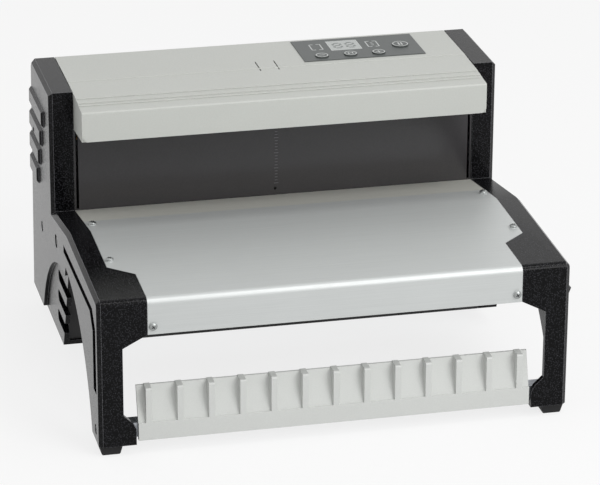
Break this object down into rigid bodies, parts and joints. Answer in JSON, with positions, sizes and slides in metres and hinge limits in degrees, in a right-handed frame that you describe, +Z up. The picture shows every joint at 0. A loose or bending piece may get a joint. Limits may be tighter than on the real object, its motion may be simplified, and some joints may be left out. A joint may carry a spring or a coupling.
{
  "type": "wire binding machine",
  "caption": "Electric desktop wire closer with an overhanging head, aluminium work table on two moulded side frames, closing bar driven by racks, and a toothed wire rail.",
  "frame": {"origin": "middle of the footprint on the table top", "axes": "+X to the operator's right, -Y towards the operator, +Z up"},
  "size_m": [0.4326, 0.3732, 0.2565],
  "materials": {
    "shell": "black moulded structural foam, lightly textured",
    "cover": "pale warm grey paint, satin",
    "table": "brushed",
    "dark_sheet": "dark grey paint, satin",
    "bed": "ground steel, satin",
    "zinc": "zinc plated",
    "black_steel": "black paint",
    "rail": "pale grey, satin",
    "rubber": "matte",
    "bright_steel": "ground",
    "bronze": "sintered",
    "nylon": "natural",
    "panel": "printed film",
    "window": "clear over a pale display",
    "key": "satin",
    "board": "solder mask",
    "black_plastic": "moulded",
    "winding": "enamelled copper winding"
  },
  "bodies": {
    "machine": {"base_pan": "zinc", "bed_beam": "zinc", "closing_bed": "bed", "comb_rail": "rail", "control_board": "board", "display_board": "board", "display_window": "window", "front_tie_bar": "zinc", "gearbox": "zinc", "head_cover": "cover", "inlet_contacts": "bright_steel", "left_chassis_plate": "zinc", "left_front_foot": "rubber", "left_guide_rod": "bright_steel", "left_rear_foot": "rubber", "left_rod_bracket": "zinc", "left_shaft_bush": "bronze", "left_side_frame": "shell", "left_table_bracket": "zinc", "lower_front_panel": "dark_sheet", "motor": "black_steel", "motor_bracket": "zinc", "panel_overlay": "panel", "pedal_socket": "black_plastic", "power_inlet": "black_plastic", "power_switch": "black_plastic", "rear_cover": "black_steel", "right_chassis_plate": "zinc", "right_front_foot": "rubber", "right_guide_rod": "bright_steel", "right_rear_foot": "rubber", "right_rod_bracket": "zinc", "right_shaft_bush": "bronze", "right_side_frame": "shell", "right_table_bracket": "zinc", "throat_back_panel": "dark_sheet", "transformer_coil": "winding", "transformer_core": "black_steel", "work_table": "table"},
    "closing_head": {"closing_bar": "bright_steel", "jaw_pad": "rubber", "left_bar_arm": "bright_steel", "left_carriage": "bronze", "left_rack": "bright_steel", "right_bar_arm": "bright_steel", "right_carriage": "bronze", "right_rack": "bright_steel"},
    "shaft_set": {"cross_shaft": "bright_steel", "drive_gear": "nylon", "left_pinion": "bright_steel", "right_pinion": "bright_steel"},
    "motor_drive": {"motor_pinion": "bright_steel"},
    "minus_key": {"minus_button": "key"},
    "mode_key": {"mode_button": "key"},
    "plus_key": {"plus_button": "key"},
    "start_key": {"start_button": "key"},
    "rocker": {"power_rocker": "black_plastic"}
  },
  "joints": [
    {"name": "bar_slide", "type": "slide", "parent": "machine", "child": "closing_head", "axis": [0, 0, -1], "range_m": [0, 0.07]},
    {"name": "shaft_turn", "type": "hinge", "parent": "machine", "child": "shaft_set", "pos_m": [0, 0.10393, 0.16], "axis": [1, 0, 0], "range_deg": [0, 335]},
    {"name": "motor_turn", "type": "hinge", "parent": "machine", "child": "motor_drive", "pos_m": [0.112, 0.1235, 0.1261], "axis": [1, 0, 0], "range_deg": [-1115, 0]},
    {"name": "minus_press", "type": "slide", "parent": "machine", "child": "minus_key", "axis": [0, 0, -1], "range_m": [0, 0.0008], "stiffness_N_per_m": 500, "springref_m": -0.0005},
    {"name": "mode_press", "type": "slide", "parent": "machine", "child": "mode_key", "axis": [0, 0, -1], "range_m": [0, 0.0008], "stiffness_N_per_m": 500, "springref_m": -0.0005},
    {"name": "plus_press", "type": "slide", "parent": "machine", "child": "plus_key", "axis": [0, 0, -1], "range_m": [0, 0.0008], "stiffness_N_per_m": 500, "springref_m": -0.0005},
    {"name": "start_press", "type": "slide", "parent": "machine", "child": "start_key", "axis": [0, 0, -1], "range_m": [0, 0.0008], "stiffness_N_per_m": 500, "springref_m": -0.0005},
    {"name": "power_rock", "type": "hinge", "parent": "machine", "child": "rocker", "pos_m": [0.2137, -0.1705, 0.112], "axis": [0, 1, 0], "range_deg": [-22, 0]}
  ],
  "couplings": [
    {"joint": "shaft_turn", "follows": "bar_slide", "rad_per_m": 83.333},
    {"joint": "motor_turn", "follows": "bar_slide", "rad_per_m": -277.78}
  ]
}
